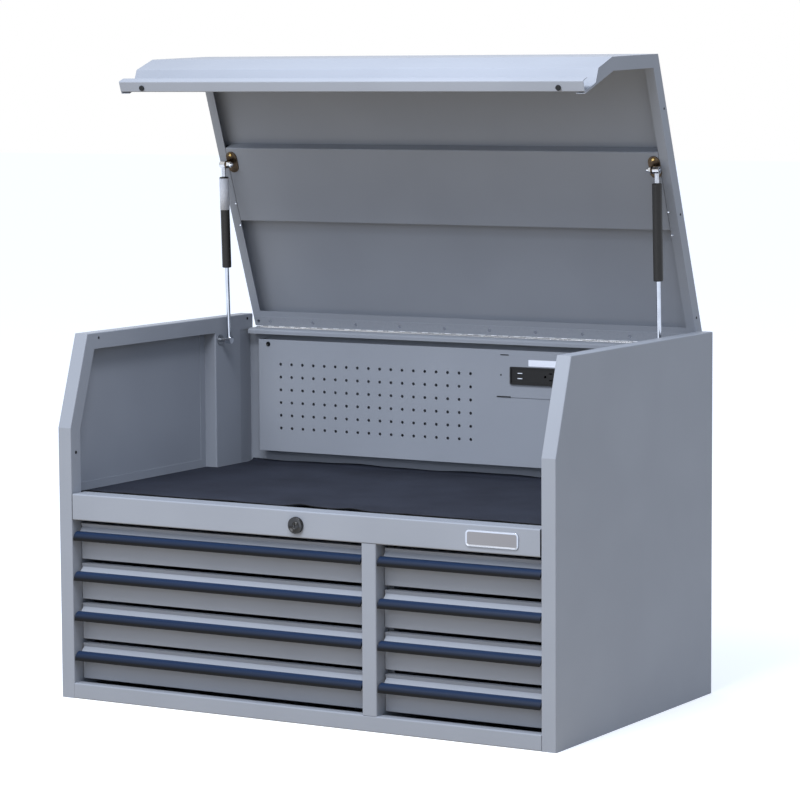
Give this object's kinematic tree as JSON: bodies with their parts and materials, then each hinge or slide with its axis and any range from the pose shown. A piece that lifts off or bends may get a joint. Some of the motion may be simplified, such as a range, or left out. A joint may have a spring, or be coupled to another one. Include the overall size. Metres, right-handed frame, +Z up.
{
  "type": "top tool chest",
  "caption": "Wide blue-grey steel top tool chest with a flip lid on gas struts, a perforated tool panel with a power strip, a matted compartment and two banks of full-extension drawers.",
  "frame": {"origin": "centre of the underside, on the surface that the chest stands on", "axes": "+X to the right seen from the front, the front faces -Y, +Z up"},
  "size_m": [1.041, 0.6477, 1.1859],
  "materials": {
    "chest_paint": "satin blue-grey enamel",
    "pull_trim": "dark blue gloss, darker towards its lower edge",
    "steel": "zinc plated",
    "chrome": "polished",
    "strut_black": "satin black",
    "bronze": "dark bronze",
    "rubber": "matt black",
    "mat": "ribbed, matt",
    "power_black": "black, satin",
    "lock_black": "gloss black"
  },
  "bodies": {
    "chest": {"side_panel_left": "chest_paint", "side_panel_right": "chest_paint", "base_panel": "chest_paint", "back_panel": "chest_paint", "front_beam": "chest_paint", "centre_divider": "chest_paint", "compartment_floor": "chest_paint", "compartment_mat": "mat", "pegboard_panel": "chest_paint", "power_plate": "chest_paint", "power_unit": "power_black", "slide_fixed_members": "steel", "lock_housing": "lock_black", "hinge_lower_leaf": "chest_paint", "hinge_pin": "steel", "strut_lower_studs": "steel"},
    "lid": {"lid_shell": "chest_paint", "lid_stiffener": "chest_paint", "hinge_upper_leaf": "chest_paint", "lid_screws": "steel", "lid_bumpers": "rubber", "strut_upper_brackets": "bronze"},
    "strut_left_tube": {"strut_left_cylinder": "strut_black"},
    "strut_right_tube": {"strut_right_cylinder": "strut_black"},
    "strut_left_piston_rod": {"strut_left_rod": "chrome"},
    "strut_right_piston_rod": {"strut_right_rod": "chrome"},
    "lock_plug": {"lock_barrel": "chrome"},
    "lock_catch_bar": {"lock_bar": "steel"},
    "drawer_left_1": {"drawer_left_1": "chest_paint", "drawer_left_1_pull": "pull_trim", "drawer_left_1_slide_inners": "steel"},
    "drawer_left_1_middles": {"drawer_left_1_slide_middles": "steel"},
    "drawer_left_2": {"drawer_left_2": "chest_paint", "drawer_left_2_pull": "pull_trim", "drawer_left_2_slide_inners": "steel"},
    "drawer_left_2_middles": {"drawer_left_2_slide_middles": "steel"},
    "drawer_left_3": {"drawer_left_3": "chest_paint", "drawer_left_3_pull": "pull_trim", "drawer_left_3_slide_inners": "steel"},
    "drawer_left_3_middles": {"drawer_left_3_slide_middles": "steel"},
    "drawer_left_4": {"drawer_left_4": "chest_paint", "drawer_left_4_pull": "pull_trim", "drawer_left_4_slide_inners": "steel"},
    "drawer_left_4_middles": {"drawer_left_4_slide_middles": "steel"},
    "drawer_right_1": {"drawer_right_1": "chest_paint", "drawer_right_1_pull": "pull_trim", "drawer_right_1_slide_inners": "steel"},
    "drawer_right_1_middles": {"drawer_right_1_slide_middles": "steel"},
    "drawer_right_2": {"drawer_right_2": "chest_paint", "drawer_right_2_pull": "pull_trim", "drawer_right_2_slide_inners": "steel"},
    "drawer_right_2_middles": {"drawer_right_2_slide_middles": "steel"},
    "drawer_right_3": {"drawer_right_3": "chest_paint", "drawer_right_3_pull": "pull_trim", "drawer_right_3_slide_inners": "steel"},
    "drawer_right_3_middles": {"drawer_right_3_slide_middles": "steel"},
    "drawer_right_4": {"drawer_right_4": "chest_paint", "drawer_right_4_pull": "pull_trim", "drawer_right_4_slide_inners": "steel"},
    "drawer_right_4_middles": {"drawer_right_4_slide_middles": "steel"}
  },
  "joints": [
    {"name": "lid_hinge", "type": "hinge", "parent": "chest", "child": "lid", "pos_m": [0, 0.3113, 0.648], "axis": [1, 0, 0], "range_deg": [0, 70], "stiffness_Nm_per_rad": 10, "springref_deg": -148.97},
    {"name": "strut_left_swing", "type": "hinge", "parent": "lid", "child": "strut_left_tube", "pos_m": [-0.47, 0.17673, 0.9768], "axis": [1, 0, 0], "range_deg": [-1, 19]},
    {"name": "strut_left_stroke", "type": "slide", "parent": "strut_left_tube", "child": "strut_left_piston_rod", "axis": [0, -0.0385, 0.9993], "range_m": [-0.001, 0.113]},
    {"name": "strut_right_swing", "type": "hinge", "parent": "lid", "child": "strut_right_tube", "pos_m": [0.47, 0.17673, 0.9768], "axis": [1, 0, 0], "range_deg": [-1, 19]},
    {"name": "strut_right_stroke", "type": "slide", "parent": "strut_right_tube", "child": "strut_right_piston_rod", "axis": [0, -0.0385, 0.9993], "range_m": [-0.001, 0.113]},
    {"name": "lock_bar_drop", "type": "slide", "parent": "chest", "child": "lock_catch_bar", "axis": [0, 0, -1], "range_m": [0, 0.01]},
    {"name": "lock_turn", "type": "hinge", "parent": "chest", "child": "lock_plug", "pos_m": [0, -0.308, 0.358], "axis": [0, 1, 0], "range_deg": [-1, 91.5]},
    {"name": "drawer_left_1_travel", "type": "slide", "parent": "chest", "child": "drawer_left_1", "axis": [0, -1, 0], "range_m": [0, 0.5]},
    {"name": "drawer_left_1_middles_travel", "type": "slide", "parent": "chest", "child": "drawer_left_1_middles", "axis": [0, -1, 0], "range_m": [-0.001, 0.251]},
    {"name": "drawer_left_2_travel", "type": "slide", "parent": "chest", "child": "drawer_left_2", "axis": [0, -1, 0], "range_m": [0, 0.5]},
    {"name": "drawer_left_2_middles_travel", "type": "slide", "parent": "chest", "child": "drawer_left_2_middles", "axis": [0, -1, 0], "range_m": [-0.001, 0.251]},
    {"name": "drawer_left_3_travel", "type": "slide", "parent": "chest", "child": "drawer_left_3", "axis": [0, -1, 0], "range_m": [0, 0.5]},
    {"name": "drawer_left_3_middles_travel", "type": "slide", "parent": "chest", "child": "drawer_left_3_middles", "axis": [0, -1, 0], "range_m": [-0.001, 0.251]},
    {"name": "drawer_left_4_travel", "type": "slide", "parent": "chest", "child": "drawer_left_4", "axis": [0, -1, 0], "range_m": [0, 0.5]},
    {"name": "drawer_left_4_middles_travel", "type": "slide", "parent": "chest", "child": "drawer_left_4_middles", "axis": [0, -1, 0], "range_m": [-0.001, 0.251]},
    {"name": "drawer_right_1_travel", "type": "slide", "parent": "chest", "child": "drawer_right_1", "axis": [0, -1, 0], "range_m": [0, 0.5]},
    {"name": "drawer_right_1_middles_travel", "type": "slide", "parent": "chest", "child": "drawer_right_1_middles", "axis": [0, -1, 0], "range_m": [-0.001, 0.251]},
    {"name": "drawer_right_2_travel", "type": "slide", "parent": "chest", "child": "drawer_right_2", "axis": [0, -1, 0], "range_m": [0, 0.5]},
    {"name": "drawer_right_2_middles_travel", "type": "slide", "parent": "chest", "child": "drawer_right_2_middles", "axis": [0, -1, 0], "range_m": [-0.001, 0.251]},
    {"name": "drawer_right_3_travel", "type": "slide", "parent": "chest", "child": "drawer_right_3", "axis": [0, -1, 0], "range_m": [0, 0.5]},
    {"name": "drawer_right_3_middles_travel", "type": "slide", "parent": "chest", "child": "drawer_right_3_middles", "axis": [0, -1, 0], "range_m": [-0.001, 0.251]},
    {"name": "drawer_right_4_travel", "type": "slide", "parent": "chest", "child": "drawer_right_4", "axis": [0, -1, 0], "range_m": [0, 0.5]},
    {"name": "drawer_right_4_middles_travel", "type": "slide", "parent": "chest", "child": "drawer_right_4_middles", "axis": [0, -1, 0], "range_m": [-0.001, 0.251]}
  ],
  "couplings": [
    {"joint": "strut_left_swing", "follows": "lid_hinge", "ratio": 0.24722},
    {"joint": "strut_left_stroke", "follows": "lid_hinge", "m_per_rad": 0.091141},
    {"joint": "strut_right_swing", "follows": "lid_hinge", "ratio": 0.24722},
    {"joint": "strut_right_stroke", "follows": "lid_hinge", "m_per_rad": 0.091141},
    {"joint": "lock_turn", "follows": "lock_bar_drop", "rad_per_m": 157.08},
    {"joint": "drawer_left_1_middles_travel", "follows": "drawer_left_1_travel", "ratio": 0.5},
    {"joint": "drawer_left_2_middles_travel", "follows": "drawer_left_2_travel", "ratio": 0.5},
    {"joint": "drawer_left_3_middles_travel", "follows": "drawer_left_3_travel", "ratio": 0.5},
    {"joint": "drawer_left_4_middles_travel", "follows": "drawer_left_4_travel", "ratio": 0.5},
    {"joint": "drawer_right_1_middles_travel", "follows": "drawer_right_1_travel", "ratio": 0.5},
    {"joint": "drawer_right_2_middles_travel", "follows": "drawer_right_2_travel", "ratio": 0.5},
    {"joint": "drawer_right_3_middles_travel", "follows": "drawer_right_3_travel", "ratio": 0.5},
    {"joint": "drawer_right_4_middles_travel", "follows": "drawer_right_4_travel", "ratio": 0.5}
  ]
}
